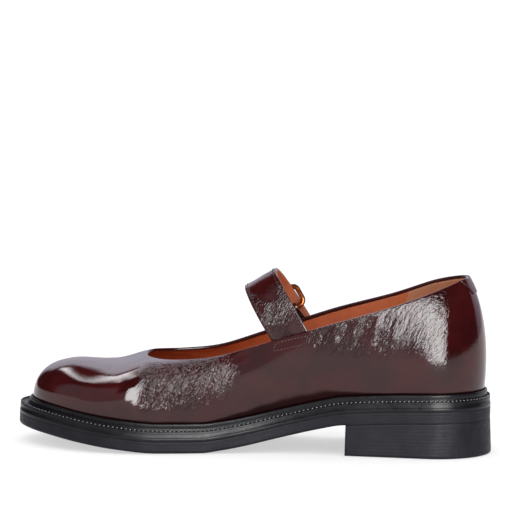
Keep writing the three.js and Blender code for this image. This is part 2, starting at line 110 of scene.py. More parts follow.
# along, side, quarter, vamp, tilt
COLLAR = np.array([
    (0.056, 0.00, 1.000, 0.000, 0.0), (0.068, 0.34, 0.992, 0.000, 0.2),
    (0.122, 0.68, 0.925, 0.000, 1.0), (0.211, 0.91, 0.804, 0.000, 0.8),
    (0.340, 1.00, 0.640, 0.100, 1.0), (0.480, 0.95, 0.330, 0.570, 0.5),
    (0.585, 0.85, 0.040, 1.000, 0.2), (0.655, 0.71, 0.000, 1.015, 0.5),
    (0.698, 0.52, 0.000, 1.005, 0.8), (0.723, 0.28, 0.000, 1.010, 0.7),
    (0.731, 0.00, 0.000, 1.005, 0.0),
])
# swell, rise, drop, reach
WALL = np.array([
    (0.70, 0.33, 0.25, 0.80), (0.74, 0.33, 0.25, 0.80), (0.85, 0.34, 0.28, 0.70),
    (0.92, 0.36, 0.30, 0.60), (1.00, 0.40, 0.30, 0.50), (0.96, 0.46, 0.28, 0.54),
    (0.92, 0.52, 0.22, 0.66), (0.90, 0.58, 0.17, 0.80), (0.88, 0.64, 0.14, 0.89),
    (0.66, 0.76, 0.13, 0.84), (0.10, 0.96, 0.13, 0.66),
])
# out, up
INSTEP = [(0.64, 0.80), (0.34, 0.95), (0.00, 1.00), (-0.38, 0.95), (-0.72, 0.78), (-0.94, 0.48)]


# Shape of the sole and the wall of the upper
def column(table, index, along):
    """One column of a table at places along the sole, smooth and without overshoot."""
    xs, ys = table[:, 0], table[:, index]
    place_at = np.clip(along, 0, 1)
    rise = np.diff(ys) / np.diff(xs)
    slope = np.zeros(len(xs))
    before, after = rise[:-1], rise[1:]
    same = before * after > 0
    slope[1:-1][same] = 2 * before[same] * after[same] / (before + after)[same]
    high = np.clip(np.searchsorted(xs, place_at, side="left"), 1, len(xs) - 1)
    low = high - 1
    span = xs[high] - xs[low]
    t = (place_at - xs[low]) / span
    rising = t * t * (3 - 2 * t)
    bend = (1 - t) * slope[low] - t * slope[high]
    return ys[low] * (1 - rising) + ys[high] * rising + span * t * (1 - t) * bend


def round_end(distance, length):
    missing = np.maximum(0, 1 - distance / length)
    return np.sqrt(np.maximum(0, 1 - missing * missing))


def outline(turn):
    along = (1 - np.cos(2 * math.pi * turn)) / 2
    side = np.sign(np.sin(2 * math.pi * turn))
    half = column(PLAN, 2, along) * round_end(along, HEEL_ROUND) * round_end(1 - along, TOE_ROUND)
    across = column(PLAN, 1, along) + side * half
    return np.stack([along * SOLE_LENGTH, across * BALL_WIDTH, 0 * along], -1)


def outline_normal(turn):
    run = outline(turn + NORMAL_STEP) - outline(turn - NORMAL_STEP)
    return unit(np.stack([-run[..., 1], run[..., 0], 0 * run[..., 0]], -1))


def unit(vectors):
    return vectors / np.maximum(np.linalg.norm(vectors, axis=-1, keepdims=True), 1e-12)


def inset_outline(turn, inset):
    return outline(turn) - outline_normal(turn) * np.asarray(inset)[..., None]


def welt_projection(turn):
    return WELT_PROJECTION * column(PLAN, 3, outline(turn)[..., 0] / SOLE_LENGTH)


def underside_height(x):
    along = np.asarray(x) / SOLE_LENGTH
    return HEEL_SEAT_HEIGHT * column(UNDERSIDE, 1, along) + TOE_SPRING * column(UNDERSIDE, 2, along)


def seat_height(x):
    return underside_height(x) + OUTSOLE_THICKNESS + GAP + WELT_THICKNESS


def with_height(points, height):
    points = points.copy()
    points[..., 2] = height
    return points


def over_seat(points, above):
    """Points moved to a height above the seat, which is the top of the welt."""
    return with_height(points, seat_height(points[..., 0]) + above)


def feather(turn):
    """Line where the upper meets the welt."""
    return over_seat(inset_outline(turn, welt_projection(turn)), GAP)


def wall_rows():
    """Control loops of the wall, one row for each twentieth of a turn."""
    count = 2 * (len(COLLAR) - 1)
    loops = {"flank": [], "crown": [], "collar": []}
    for i in range(count):
        row = min(i, count - i)
        along, side, quarter, vamp, tilt = COLLAR[row]
        swell, rise_share, drop, reach = WALL[row]
        sign = 1 if i < len(COLLAR) else -1
        x = along * SOLE_LENGTH
        height = quarter * BACK_HEIGHT + vamp * THROAT_HEIGHT - sign * tilt * COLLAR_TILT
        collar = np.array([x, sign * side * COLLAR_HALF_WIDTH, seat_height(x) + height])
        turn = np.array([i / count])
        foot = feather(turn)[0]
        rise = collar[2] - foot[2]
        bulge = outline_normal(turn)[0] * swell * SWELL
        flank = foot + bulge
        flank[2] = foot[2] + rise_share * rise
        crown = collar + (foot - collar) * reach + bulge
        crown[2] = collar[2] - drop * rise
        loops["flank"].append(flank)
        loops["crown"].append(crown)
        loops["collar"].append(collar)
    return {name: np.array(rows) for name, rows in loops.items()}


LOOPS = wall_rows()


def cubic(b, c, start, end, t):
    """From b to c as t goes from 0 to 1, with a slope at each end."""
    return (
        b + start * t + (-3 * b + 3 * c - 2 * start - end) * t ** 2
        + (2 * b - 2 * c + start + end) * t ** 3
    )


def loop_point(name, turn):
    """A point of a closed centripetal spline through one control loop."""
    rows = LOOPS[name]
    count = len(rows)
    place_at = (np.asarray(turn) % 1) * count
    first = np.floor(place_at).astype(int)
    t = (place_at - first)[..., None]
    a, b, c, d = (rows[(first + k) % count] for k in (-1, 0, 1, 2))
    ab, bc, cd = (
        np.sqrt(np.linalg.norm(step, axis=-1, keepdims=True)) for step in (b - a, c - b, d - c)
    )
    start = ((b - a) / ab - (c - a) / (ab + bc) + (c - b) / bc) * bc
    end = ((c - b) / bc - (d - b) / (bc + cd) + (d - c) / cd) * bc
    return cubic(b, c, start, end, t)


def on_wall(turn, share):
    turn, share = np.broadcast_arrays(np.asarray(turn, float) % 1, np.asarray(share, float))
    s = share[..., None]
    points = (
        (1 - s) ** 3 * feather(turn) + 3 * (1 - s) ** 2 * s * loop_point("flank", turn)
        + 3 * (1 - s) * s ** 2 * loop_point("crown", turn) + s ** 3 * loop_point("collar", turn)
    )
    off = np.minimum(np.abs(points[..., 0] - DIP_AT) / DIP_REACH, 1)
    points[..., 2] -= DIP_DEPTH * share * (2 - share) * np.cos(math.pi / 2 * off) ** 2
    return points


def wall_normal(turn, share):
    turn, share = np.broadcast_arrays(np.asarray(turn, float), np.asarray(share, float))
    step = NORMAL_STEP / 2
    low, high = np.maximum(share - step, 0), np.minimum(share + step, 1)
    along = on_wall(turn + step, share) - on_wall(turn - step, share)
    up = on_wall(turn, high) - on_wall(turn, low)
    return unit(np.cross(up, along))


def off_wall(turn, share, distance):
    return on_wall(turn, share) + wall_normal(turn, share) * np.asarray(distance)[..., None]


def share_at_rise(turn, rise):
    """Share of the wall at which it has risen to a height above the feather line."""
    turn = np.asarray(turn, float)
    low, high = np.zeros(turn.shape), np.ones(turn.shape)
    for _ in range(24):
        middle = (low + high) / 2
        below = on_wall(turn, middle)[..., 2] - feather(turn)[..., 2] < rise
        low, high = np.where(below, middle, low), np.where(below, high, middle)
    return low


def run_length(line):
    """Length of a line of points up to each of them."""
    return np.concatenate([[0], np.cumsum(np.linalg.norm(np.diff(line, axis=0), axis=-1))])


def at_lengths(wanted, length, values):
    """Values along a line, one row for each point of it, at the wanted lengths."""
    return np.stack([np.interp(wanted, length, part) for part in values.T], -1)


def even_turns(count, share=0.4):
    """Turns that stand evenly round the wall."""
    fine = np.linspace(0, 1, 4001)
    length = run_length(on_wall(fine, share))
    return np.interp((np.arange(count) + 0.5) / count * length[-1], length, fine)


# Meshes
def place(points):
    return (np.asarray(points) + SHIFT) / 1000


def new_piece(name, points, faces, material):
    """A smooth mesh piece that rides on the shoe's only body."""
    mesh = bpy.data.meshes.new(name)
    if isinstance(faces, np.ndarray):
        faces = faces.tolist()
    mesh.from_pydata(place(points).tolist(), [], faces)
    mesh.materials.append(material)
    mesh.validate()
    mesh.update()
    piece = bpy.data.objects.new(name, mesh)
    bpy.context.scene.collection.objects.link(piece)
    mesh.shade_smooth()
    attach(piece, "root")
    return piece


def grid_faces(rows, columns, round_rows=False):
    """Quads between the points of closed rings, which are stored ring by ring."""
    i = np.arange(rows if round_rows else rows - 1)
    i, here = np.meshgrid(i, np.arange(columns), indexing="ij")
    below, above, there = i * columns, (i + 1) % rows * columns, (here + 1) % columns
    quads = np.stack([below + here, below + there, above + there, above + here], -1)
    return quads.reshape(-1, 4)


def signed_volume(points, quads):
    a, b, c, d = (points[quads[:, k]] for k in range(4))
    return float(np.sum(np.cross(a, b) * c) + np.sum(np.cross(a, c) * d))


def outward(points, quads):
    return quads[:, ::-1] if signed_volume(points, quads) < 0 else quads


def cap_strips(first, columns):
    """Quads that close a ring by strips between its points i and columns - 1 - i."""
    i = np.arange(columns // 2 - 1)
    return np.stack(
        [first + columns - 1 - i, first + columns - 2 - i, first + i + 1, first + i], -1,
    )


def ring_piece(name, rings, material, joined=False):
    """A closed skin over rings of points, joined end to end or closed by strips."""
    columns = len(rings[0])
    points = np.concatenate(rings)
    quads = grid_faces(len(rings), columns, round_rows=joined)
    if not joined:
        last = (len(rings) - 1) * columns
        quads = np.concatenate([
            quads, cap_strips(0, columns), cap_strips(last, columns)[:, ::-1],
        ])
    return new_piece(name, points, outward(points, quads), material)


def numbers_from(points, seed):
    """Smooth noise between -1 and 1 at points, with a period of one unit."""
    cell = np.floor(points).astype(np.int64)
    t = points - cell
    ease = t * t * t * (t * (t * 6 - 15) + 10)
    total = np.zeros(len(points))
    for corner in np.ndindex(2, 2, 2):
        # Large whole numbers mix the corner's place and the seed into one code
        c = cell + corner
        code = (c[:, 0] * 73856093) ^ (c[:, 1] * 19349663) ^ (c[:, 2] * 83492791) ^ (seed * 2654435761)
        code = (code ^ (code >> 13)) * 1274126177 & 0x7FFFFFFF
        code = (code ^ (code >> 16)) & 0x7FFFFFFF
        angle = (code & 0xFFFF) / 65536 * 2 * math.pi
        height = ((code >> 15) & 0xFFFF) / 32768 - 1
        flat = np.sqrt(np.maximum(0, 1 - height ** 2))
        slope = np.stack([flat * np.cos(angle), flat * np.sin(angle), height], -1)
        weight = np.ones(len(points))
        for axis in range(3):
            weight = weight * (ease[:, axis] if corner[axis] else 1 - ease[:, axis])
        total += weight * np.sum(slope * (t - corner), -1)
    return total * 1.6


def smooth_step(low, high, value):
    t = np.clip((value - low) / (high - low), 0, 1)
    return t * t * (3 - 2 * t)


# Materials
class Nodes:
    """Short calls for building the nodes of one material or world."""

    def __init__(self, owner, shader="Principled BSDF"):
        self.owner = owner
        owner.use_nodes = True
        self.tree = owner.node_tree
        self.shader = self.tree.nodes[shader]
        self.coordinates = self.add("ShaderNodeTexCoord").outputs
        self.position = self.coordinates["Object"]

    def add(self, kind, **settings):
        node = self.tree.nodes.new(kind)
        for key, value in settings.items():
            setattr(node, key, value)
        return node

    def link(self, source, target):
        self.tree.links.new(source, target)

    def fill(self, socket, value):
        if isinstance(value, bpy.types.NodeSocket):
            self.link(value, socket)
        else:
            socket.default_value = value

    def stretched(self, size, lean=0.0):
        """Position counted in cells of a size in millimetres that lean to the heel."""
        node = self.add("ShaderNodeMapping", vector_type="TEXTURE")
        self.link(self.position, node.inputs["Vector"])
        node.inputs["Scale"].default_value = [side / 1000 for side in size]
        node.inputs["Rotation"].default_value = (0, -lean, 0)
        return node.outputs["Vector"]

    def noise(self, scale, detail=3.0, rough=0.5, vector=None, distortion=0.0):
        node = self.add("ShaderNodeTexNoise")
        self.link(vector or self.position, node.inputs["Vector"])
        node.inputs["Scale"].default_value = scale
        node.inputs["Detail"].default_value = detail
        node.inputs["Roughness"].default_value = rough
        node.inputs["Distortion"].default_value = distortion
        return node.outputs["Fac"]

    def cells(self, scale, vector=None, feature="DISTANCE_TO_EDGE"):
        node = self.add("ShaderNodeTexVoronoi", feature=feature)
        self.link(vector or self.position, node.inputs["Vector"])
        node.inputs["Scale"].default_value = scale
        return node.outputs["Distance"]

    def math(self, operation, first, second=0.0):
        node = self.add("ShaderNodeMath", operation=operation)
        self.fill(node.inputs[0], first)
        self.fill(node.inputs[1], second)
        return node.outputs[0]

    def ramp(self, source, low, high, to_low=0.0, to_high=1.0):
        node = self.add("ShaderNodeMapRange", interpolation_type="SMOOTHSTEP")
        for socket, value in zip(node.inputs, (source, low, high, to_low, to_high)):
            self.fill(socket, value)
        return node.outputs["Result"]

    def mix(self, share, first, second):
        node = self.add("ShaderNodeMix", data_type="RGBA")
        self.fill(node.inputs["Factor"], share)
        self.fill(node.inputs["A"], first)
        self.fill(node.inputs["B"], second)
        return node.outputs["Result"]

    def parts(self, vector):
        node = self.add("ShaderNodeSeparateXYZ")
        self.link(vector, node.inputs[0])
        return node.outputs

    def mask(self, name):
        return self.add("ShaderNodeAttribute", attribute_name=name).outputs["Fac"]

    def bump(self, height, distance, strength, before=None):
        node = self.add("ShaderNodeBump")
        self.link(height, node.inputs["Height"])
        node.inputs["Distance"].default_value = distance
        self.fill(node.inputs["Strength"], strength)
        if before is not None:
            self.link(before, node.inputs["Normal"])
        return node.outputs["Normal"]

    def finish(self, **sockets):
        for name, value in sockets.items():
            self.fill(self.shader.inputs[name.replace("_", " ")], value)
        return self.owner


def rgb(red, green, blue):
    """Linear colour of an sRGB colour from 0 to 255."""
    parts = [c / 255 for c in (red, green, blue)]
    return [c / 12.92 if c <= 0.04045 else ((c + 0.055) / 1.055) ** 2.4 for c in parts] + [1.0]


def glossy_leather(name, masked=True):
    """Burgundy leather under a glossy crackled finish, with painted shade in its cracks. The masked kind
    also has a painted reflection of the black welt above the rib.
    """
    n = Nodes(bpy.data.materials.new(name))
    tone = n.noise(55, 4, 0.55)
    colour = n.mix(n.ramp(tone, 0.35, 0.68), rgb(58, 14, 15), rgb(44, 10, 12))
    lean = math.radians(36)
    crackle = n.ramp(n.cells(1.0, n.stretched((1.5, 1.5, 7.0), lean)), 0.0, 0.2)
    wrinkle = n.noise(1.0, 4, 0.65, n.stretched((2.6, 2.6, 11.0), lean), 0.5)
    strength = n.mask("crinkle") if masked else n.ramp(n.noise(55, 2, 0.5), 0.46, 0.6, 0.08, 0.8)
    grain = n.bump(n.noise(900, 3, 0.6), 0.00002, 0.4)
    waves = n.bump(n.noise(45, 2, 0.5), 0.0008, 0.25, grain)
    folds = n.bump(wrinkle, 0.0014, strength, waves)
    normal = n.bump(crackle, 0.00016, strength, folds)
    # Painted shade: the crackle's grooves get a darker colour where the crinkle is strong
    painted_crack_shade = n.math("MULTIPLY", n.ramp(crackle, 0.0, 0.6, 0.6, 0.0), strength)
    crack_shaded_colour = n.mix(painted_crack_shade, colour, rgb(24, 8, 9))
    rough = n.ramp(n.noise(160, 3, 0.5), 0.3, 0.7, 0.05, 0.10)
    if not masked:
        return n.finish(Base_Color=crack_shaded_colour, Roughness=rough, Normal=normal, Specular_IOR_Level=0.42)
    # Painted reflection of the black welt: a darker, less glossy band just above the rib
    reflection_shade = n.mask("painted_reflection_band")
    return n.finish(
        Base_Color=n.mix(n.math("MULTIPLY", reflection_shade, 0.8), crack_shaded_colour, rgb(22, 8, 9)), Roughness=rough,
        Normal=normal, Specular_IOR_Level=n.ramp(reflection_shade, 0.0, 1.0, 0.42, 0.05),
    )


def lining_leather(name, light, dark):
    n = Nodes(bpy.data.materials.new(name))
    tone = n.noise(60, 4, 0.6)
    pores = n.cells(1500, feature="F1")
    colour = n.mix(n.ramp(tone, 0.3, 0.7), light, dark)
    grain = n.bump(n.ramp(pores, 0.0, 0.6), 0.00003, 0.4)
    normal = n.bump(n.noise(260, 4, 0.6), 0.00012, 0.5, grain)
    return n.finish(
        Base_Color=colour, Roughness=n.ramp(tone, 0.3, 0.7, 0.5, 0.62), Normal=normal,
        Specular_IOR_Level=0.35,
    )


def rubber(name, light, dark, low_rough, high_rough, gloss=0.25, joint=None):
    """Black rubber. joint is where a butt joint crosses it on the inner side."""
    n = Nodes(bpy.data.materials.new(name))
    tone = n.noise(90, 4, 0.6)
    colour = n.mix(n.ramp(tone, 0.3, 0.7), light, dark)
    if joint is not None:
        x, y, _ = n.parts(n.position)
        off = n.math("ABSOLUTE", n.math("SUBTRACT", x, (joint + SHIFT[0]) / 1000))
        line = n.math("MULTIPLY", n.ramp(off, 0.0002, 0.0004, 1.0, 0.0), n.ramp(y, 0.0, 0.001))
        colour = n.mix(line, colour, rgb(4, 4, 5))
    ribs = n.noise(1.0, 2, 0.5, n.stretched((40, 40, 1.1)))
    grain = n.bump(n.noise(1400, 3, 0.6), 0.00003, 0.5)
    normal = n.bump(ribs, 0.00008, 0.5, grain)
    return n.finish(
        Base_Color=colour, Roughness=n.ramp(n.noise(300, 3, 0.5), 0.3, 0.7, low_rough, high_rough),
        Normal=normal, Specular_IOR_Level=gloss,
    )


def brass(name):
    n = Nodes(bpy.data.materials.new(name))
    tone = n.noise(180, 3, 0.5)
    colour = n.mix(n.ramp(tone, 0.3, 0.7), rgb(164, 93, 54), rgb(124, 67, 37))
    scratches = n.noise(1.0, 3, 0.6, n.stretched((3.3, 0.4, 3.3)))
    return n.finish(
        Base_Color=colour, Metallic=1.0, Roughness=n.ramp(scratches, 0.3, 0.7, 0.22, 0.36),
        Normal=n.bump(scratches, 0.00002, 0.4),
    )


def thread(name, light, dark):
    n = Nodes(bpy.data.materials.new(name))
    twist = n.noise(1.0, 2, 0.5, n.stretched((0.7, 0.7, 0.35)))
    return n.finish(
        Base_Color=n.mix(n.ramp(twist, 0.3, 0.7), light, dark), Roughness=0.55,
        Normal=n.bump(twist, 0.00008, 0.7),
    )


WELT_JOINT = 67.6
LEATHER = glossy_leather("glossy_burgundy_leather")
STRAP_LEATHER = glossy_leather("glossy_strap_leather", masked=False)
LINING = lining_leather("tan_lining", rgb(204, 112, 66), rgb(186, 98, 57))
HEEL_LINING = lining_leather("pale_heel_lining", rgb(196, 140, 106), rgb(184, 126, 92))
WELT_RUBBER = rubber("welt_rubber", rgb(20, 20, 25), rgb(13, 13, 17), 0.26, 0.36, 0.2, WELT_JOINT)
SOLE_RUBBER = rubber("sole_rubber", rgb(30, 29, 37), rgb(22, 21, 28), 0.45, 0.58, 0.15)
BEAD_RUBBER = rubber("bead_rubber", rgb(24, 24, 29), rgb(17, 17, 21), 0.14, 0.2, 0.9)
BRASS = brass("brass")
THREAD = thread("dark_thread", rgb(96, 56, 50), rgb(62, 32, 30))


# Upper: the leather shell with its folded edge, the lining and the insole
RIM_RADIUS = 0.9
LIP_DEPTH = 1.6
LEATHER_INSIDE = -1.45
LINING_OUTSIDE = -1.55
LEATHER_COLUMNS = 720
LEATHER_ROWS = 112
LINING_COLUMNS = 320
LINING_ROWS = 44
# The seam between the two linings passes this x and z, and leans as it rises
HEEL_SEAM_AT = (50.5, 80.0)
HEEL_SEAM_LEAN = 0.18


def crinkle_mask(points):
    """Where the finish is crackled: over the flex of the vamp and along the quarters."""
    x, y, z = points[:, 0], points[:, 1], points[:, 2]
    patchy = 0.5 + 0.5 * numbers_from(points / 14.0, 5)
    flex = smooth_step(138, 164, x) * smooth_step(201, 194, x)
    flex = flex * smooth_step(18, 34, z) * smooth_step(18, 32, np.abs(y)) * (0.8 + 0.5 * patchy)
    quarter = smooth_step(50, 66, x) * smooth_step(114, 90, x) * smooth_step(50, 66, z)
    strip = 0.25 * smooth_step(24, 30, x) * smooth_step(60, 46, x) * smooth_step(50, 66, z)
    return np.clip(np.maximum(flex, quarter * (0.3 + 1.0 * patchy) + strip) + 0.03, 0, 1)


def streaks(points, across, along, lean, seed):
    """Noise drawn out along steep lines that lean towards the heel as they rise."""
    x, y, z = points[:, 0], points[:, 1], points[:, 2]
    side = x * math.sin(lean) + z * math.cos(lean)
    line = -x * math.cos(lean) + z * math.sin(lean)
    return numbers_from(np.stack([side / across, y / across, line / along], -1), seed)


# Creases of the worn leather as soft grooves: where each starts low on the wall and
# ends high on it (x and z), how wide it is and how deep. A negative depth is a ridge.
CREASES = [
    (201, 29, 191, 44, 1.5, 0.30), (195, 26, 181, 45, 1.6, 0.42), (187, 26, 172, 46, 1.7, 0.36),
    (180, 28, 165, 47, 1.5, 0.38), (172, 31, 159, 47, 1.4, 0.26), (163, 34, 153, 48, 1.3, 0.18),
    (90, 61, 83, 75, 1.3, 0.24), (79, 60, 71, 79, 1.3, 0.32), (69, 57, 61, 84, 1.2, 0.36),
    (61, 62, 55, 83, 1.1, 0.24), (100, 62, 94, 71, 1.2, 0.18), (98, 63, 92, 75, 3.0, 0.45),
    (87, 62, 80, 80, 3.0, 0.50), (76, 61, 69, 83, 3.0, 0.50), (65, 59, 59, 85, 3.0, 0.45),
    (92, 62, 86, 77, 3.0, -0.35), (81, 61, 75, 81, 3.0, -0.40), (70, 60, 64, 84, 3.0, -0.40),
]


def creases(points):
    """Depth of the listed creases. The outer side has them a little further forward."""
    spots = np.stack([points[:, 0] - 4.0 * (points[:, 1] < 0), points[:, 2]], -1)
    spots[:, 0] += 1.2 * numbers_from(points / 7.0, 41)
    depth = np.zeros(len(points))
    for x_low, z_low, x_high, z_high, width, deep in CREASES:
        start, run = np.array([x_low, z_low]), np.array([x_high - x_low, z_high - z_low])
        share = np.clip((spots - start) @ run / (run @ run), 0, 1)
        off = np.linalg.norm(spots - start - share[:, None] * run, axis=-1)
        fade = np.sqrt(np.sin(math.pi * np.clip(share, 0.02, 0.98)))
        depth += deep * fade * np.exp(-(off / width) ** 2)
    return depth


def relief(points):
    """Height of the creases and of the crackled finish above the smooth last."""
    mask = crinkle_mask(points)
    coarse = streaks(points, 6.5, 18, math.radians(56), 11)
    fine = streaks(points, 2.6, 9, math.radians(52), 12)
    ridges = 1 - 2 * np.abs(fine)
    height = mask * (0.26 * coarse + 0.15 * ridges) - creases(points)
    height += 0.07 * numbers_from(points / 26.0, 21)
    # The break of the vamp: a soft roll and, behind it, a hollow that the crackle fills
    x, z = points[:, 0], points[:, 2]
    run = x + 0.1 * (z - 33.0)
    roll = 1.4 * smooth_step(230, 211, run) - 2.3 * smooth_step(211, 196, run)
    roll += 0.9 * smooth_step(192, 160, run)
    height += roll * smooth_step(16, 32, z) * smooth_step(46, 37, z)
    height -= 1.2 * smooth_step(254, 230, x) * smooth_step(196, 218, x) * smooth_step(32, 46, z)
    return height, mask


def painted_reflection_band(points, foot):
    """Share of the painted dark reflection of the black welt above the rib, which reaches highest at the
    waist.
    """
    above = points[:, 2] - foot - RIB_HEIGHT
    waist = np.cos(math.pi / 2 * np.clip(np.abs(points[:, 0] - 112) / 54, 0, 1)) ** 2
    reach = (1.0 + 6.5 * waist) * (1 + 0.25 * numbers_from(points / 9.0, 31))
    return smooth_step(reach, 0.35 * reach, above)


def collar_speed(turns):
    """Millimetres of wall for one whole share of it, measured at the collar."""
    return np.linalg.norm(on_wall(turns, 1.0) - on_wall(turns, 0.99), axis=-1) / 0.01


def leather_shell():
    turns = even_turns(LEATHER_COLUMNS)
    edge = np.ones(len(turns))
    speed = collar_speed(turns)
    top = edge - RIM_RADIUS / speed
    foot = feather(turns)[:, 2]
    rows, masks = [], []
    for share in np.linspace(0, 1, LEATHER_ROWS) ** 1.02:
        points = on_wall(turns, share * top)
        height, mask = relief(points)
        fade = smooth_step(0, 0.06, share) * smooth_step(1.0, 0.97, share)
        above = points[:, 2] - foot
        tuck = 0.3 + 0.8 * smooth_step(172, 130, points[:, 0]) * smooth_step(30, 70, points[:, 0])
        height = height * fade - tuck * np.clip(1 - above / 6.0, 0, 1) ** 2
        height = np.maximum(height, LEATHER_INSIDE + 0.1)
        rows.append(points + wall_normal(turns, share * top) * height[:, None])
        masks.append(mask)
    normal = wall_normal(turns, top)
    up = unit(on_wall(turns, 1.0) - on_wall(turns, 0.97))
    centre = on_wall(turns, top) - normal * RIM_RADIUS
    for angle in np.radians([22, 45, 68, 90, 112, 135, 158, 180]):
        rows.append(centre + RIM_RADIUS * (normal * math.cos(angle) + up * math.sin(angle)))
        masks.append(0.1 * edge)
    inside = top - LIP_DEPTH / speed
    rows.append(off_wall(turns, inside, -2 * RIM_RADIUS))
    masks.append(0.1 * edge)
    for share in np.linspace(1, 0, 10):
        rows.append(off_wall(turns, share * (inside - 0.2 / speed), LEATHER_INSIDE))
        masks.append(0 * edge)
    points = np.concatenate(rows)
    quads = outward(points, grid_faces(len(rows), LEATHER_COLUMNS, round_rows=True))
    piece = new_piece("upper_leather", points, quads, LEATHER)
    # Mask of the painted dark reflection of the welt, a band above the rib
    reflection_shade = painted_reflection_band(points, np.tile(foot, len(rows)))
    for name, values in (("crinkle", np.concatenate(masks)), ("painted_reflection_band", reflection_shade)):
        attribute = piece.data.attributes.new(name, "FLOAT", "POINT")
        attribute.data.foreach_set("value", values.astype(np.float32))
    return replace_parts(piece, "upper")


def lining_shell():
    turns = even_turns(LINING_COLUMNS, 0.8)
    top = 1 - (RIM_RADIUS + 0.7) / collar_speed(turns)
    inner = [off_wall(turns, share * top, -UPPER_WALL) for share in np.linspace(0, 1, LINING_ROWS)]
    outer = [off_wall(turns, share * top, LINING_OUTSIDE) for share in np.linspace(1, 0, 10)]
    rings = inner + outer
    points = np.concatenate(rings)
    quads = outward(points, grid_faces(len(rings), LINING_COLUMNS, round_rows=True))
    piece = new_piece("upper_lining", points, quads, LINING)
    piece.data.materials.append(HEEL_LINING)
    x, _, z = points[quads].mean(axis=1).T
    seam = HEEL_SEAM_AT[0] - HEEL_SEAM_LEAN * (z - HEEL_SEAM_AT[1])
    piece.data.polygons.foreach_set("material_index", (x < seam).astype(np.int32))
    return piece


def sock():
    turns = even_turns(400, 0.0)

    def rim(inset, above):
        inner = welt_projection(turns) + UPPER_WALL + 2 * GAP
        return over_seat(inset_outline(turns, inner + inset), above)

    rings = [
        rim(0, GAP), rim(0, GAP + 1.5), rim(0.15, GAP + 2.0), rim(0.5, GAP + 2.4),
        rim(1.1, GAP + INSOLE_THICKNESS), rim(6, GAP + INSOLE_THICKNESS),
    ]
    piece = ring_piece("insole_sock", rings, HEEL_LINING)
    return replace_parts(piece, "insole")


leather_shell()
lining_shell()
sock()


# Sole: welt with its rib and raised stitch rows, outsole and heel block
SOLE_COLUMNS = 640
BEAD_PITCH = 2.5


def sole_ring(turns, inset, above):
    """A ring inside the sole's outline, at a height above its underside."""
    points = inset_outline(turns, inset)
    return with_height(points, underside_height(points[:, 0]) + above)


def rib_ring(turns, height, out):
    return over_seat(off_wall(turns, share_at_rise(turns, height), GAP + out), height)


def welt():
    turns = even_turns(SOLE_COLUMNS, 0.0)
    foot = welt_projection(turns) - GAP - RIB_THICKNESS

    def side(inset, above):
        return sole_ring(turns, inset, OUTSOLE_THICKNESS + GAP + above)

    def shelf(inset, above):
        return over_seat(inset_outline(turns, inset), above)

    rings = [
        side(0.9, -0.14), side(0.06, -0.13), side(0.0, 0.0), side(0.0, 1.5),
        side(0.07, 1.85), side(0.2, 2.05), side(0.3, 2.12), side(0.32, 4.7),
        side(0.36, 5.2), side(0.5, 5.55), side(0.75, 5.75),
        shelf(1.1, -0.42), shelf(1.9, -0.55), shelf(2.3, -1.1), shelf(foot - 1.5, -1.3),
        shelf(foot - 1.1, -1.3), shelf(foot - 0.5, -0.9), shelf(foot - 0.1, -0.2),
        rib_ring(turns, 1.2, RIB_THICKNESS), rib_ring(turns, 2.6, RIB_THICKNESS * 0.97),
        rib_ring(turns, 3.15, RIB_THICKNESS * 0.8), rib_ring(turns, RIB_HEIGHT, RIB_THICKNESS * 0.5),
        rib_ring(turns, 3.3, RIB_THICKNESS * 0.18), rib_ring(turns, 3.0, 0.0),
        rib_ring(turns, 1.0, 0.0), over_seat(off_wall(turns, 0.0, GAP), 0.0),
    ]
    piece = ring_piece("welt_body", rings, WELT_RUBBER)
    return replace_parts(piece, "welt")


def walk(points, pitch):
    """Places at an even pitch along a closed line, with the direction there."""
    closed = np.concatenate([points, points[:1]])
    length = run_length(closed)
    count = int(round(length[-1] / pitch))
    wanted = (np.arange(count) + 0.5) / count * length[-1]
    spots = at_lengths(wanted, length, closed)
    ahead = at_lengths((wanted + 0.4) % length[-1], length, closed)
    return spots, unit(ahead - spots)


def beads(name, spots, along, up, size, material, slot, sides=8, rings=5):
    """Small rounded beads, one mesh, each longer along its row than across it."""
    half = np.asarray(size) / 2
    polar = np.linspace(0, math.pi, rings + 2)[1:-1]
    around = np.arange(sides) / sides * 2 * math.pi
    shape = [(-1.0, 0.0, 0.0)]
    for p in polar:
        for a in around:
            shape.append((-math.cos(p), math.sin(p) * math.cos(a), math.sin(p) * math.sin(a)))
    shape.append((1.0, 0.0, 0.0))
    shape = np.array(shape)
    shape = np.sign(shape) * np.abs(shape) ** 0.75 * half
    faces = []
    for j in range(sides):
        k = (j + 1) % sides
        faces.append((0, 1 + k, 1 + j))
        for r in range(rings - 1):
            a, b = 1 + r * sides, 1 + (r + 1) * sides
            faces.append((a + j, a + k, b + k, b + j))
        last = 1 + (rings - 1) * sides
        faces.append((last + j, last + k, len(shape) - 1))
    across = unit(np.cross(up, along))
    up = np.cross(along, across)
    points, all_faces = [], []
    for i in range(len(spots)):
        points.append(spots[i] + shape @ np.stack([along[i], across[i], up[i]]))
        start = i * len(shape)
        all_faces += [tuple(start + v for v in face) for face in faces]
    return new_piece(name, np.concatenate(points), all_faces, material)


def welt_beads():
    turns = even_turns(1600, 0.0)
    up = (0.0, 0.0, 1.0)
    edge = over_seat(inset_outline(turns, 1.05), -0.22)
    beads("welt_beads", *walk(edge, BEAD_PITCH), up, (1.6, 1.3, 1.3), BEAD_RUBBER, "welt_rubber")
    inset = welt_projection(turns) - GAP - RIB_THICKNESS - 1.0
    row = over_seat(inset_outline(turns, inset), -1.15)
    beads("welt_fine_beads", *walk(row, BEAD_PITCH), up, (1.4, 0.8, 0.7), BEAD_RUBBER,
          "welt_rubber", 6, 3)


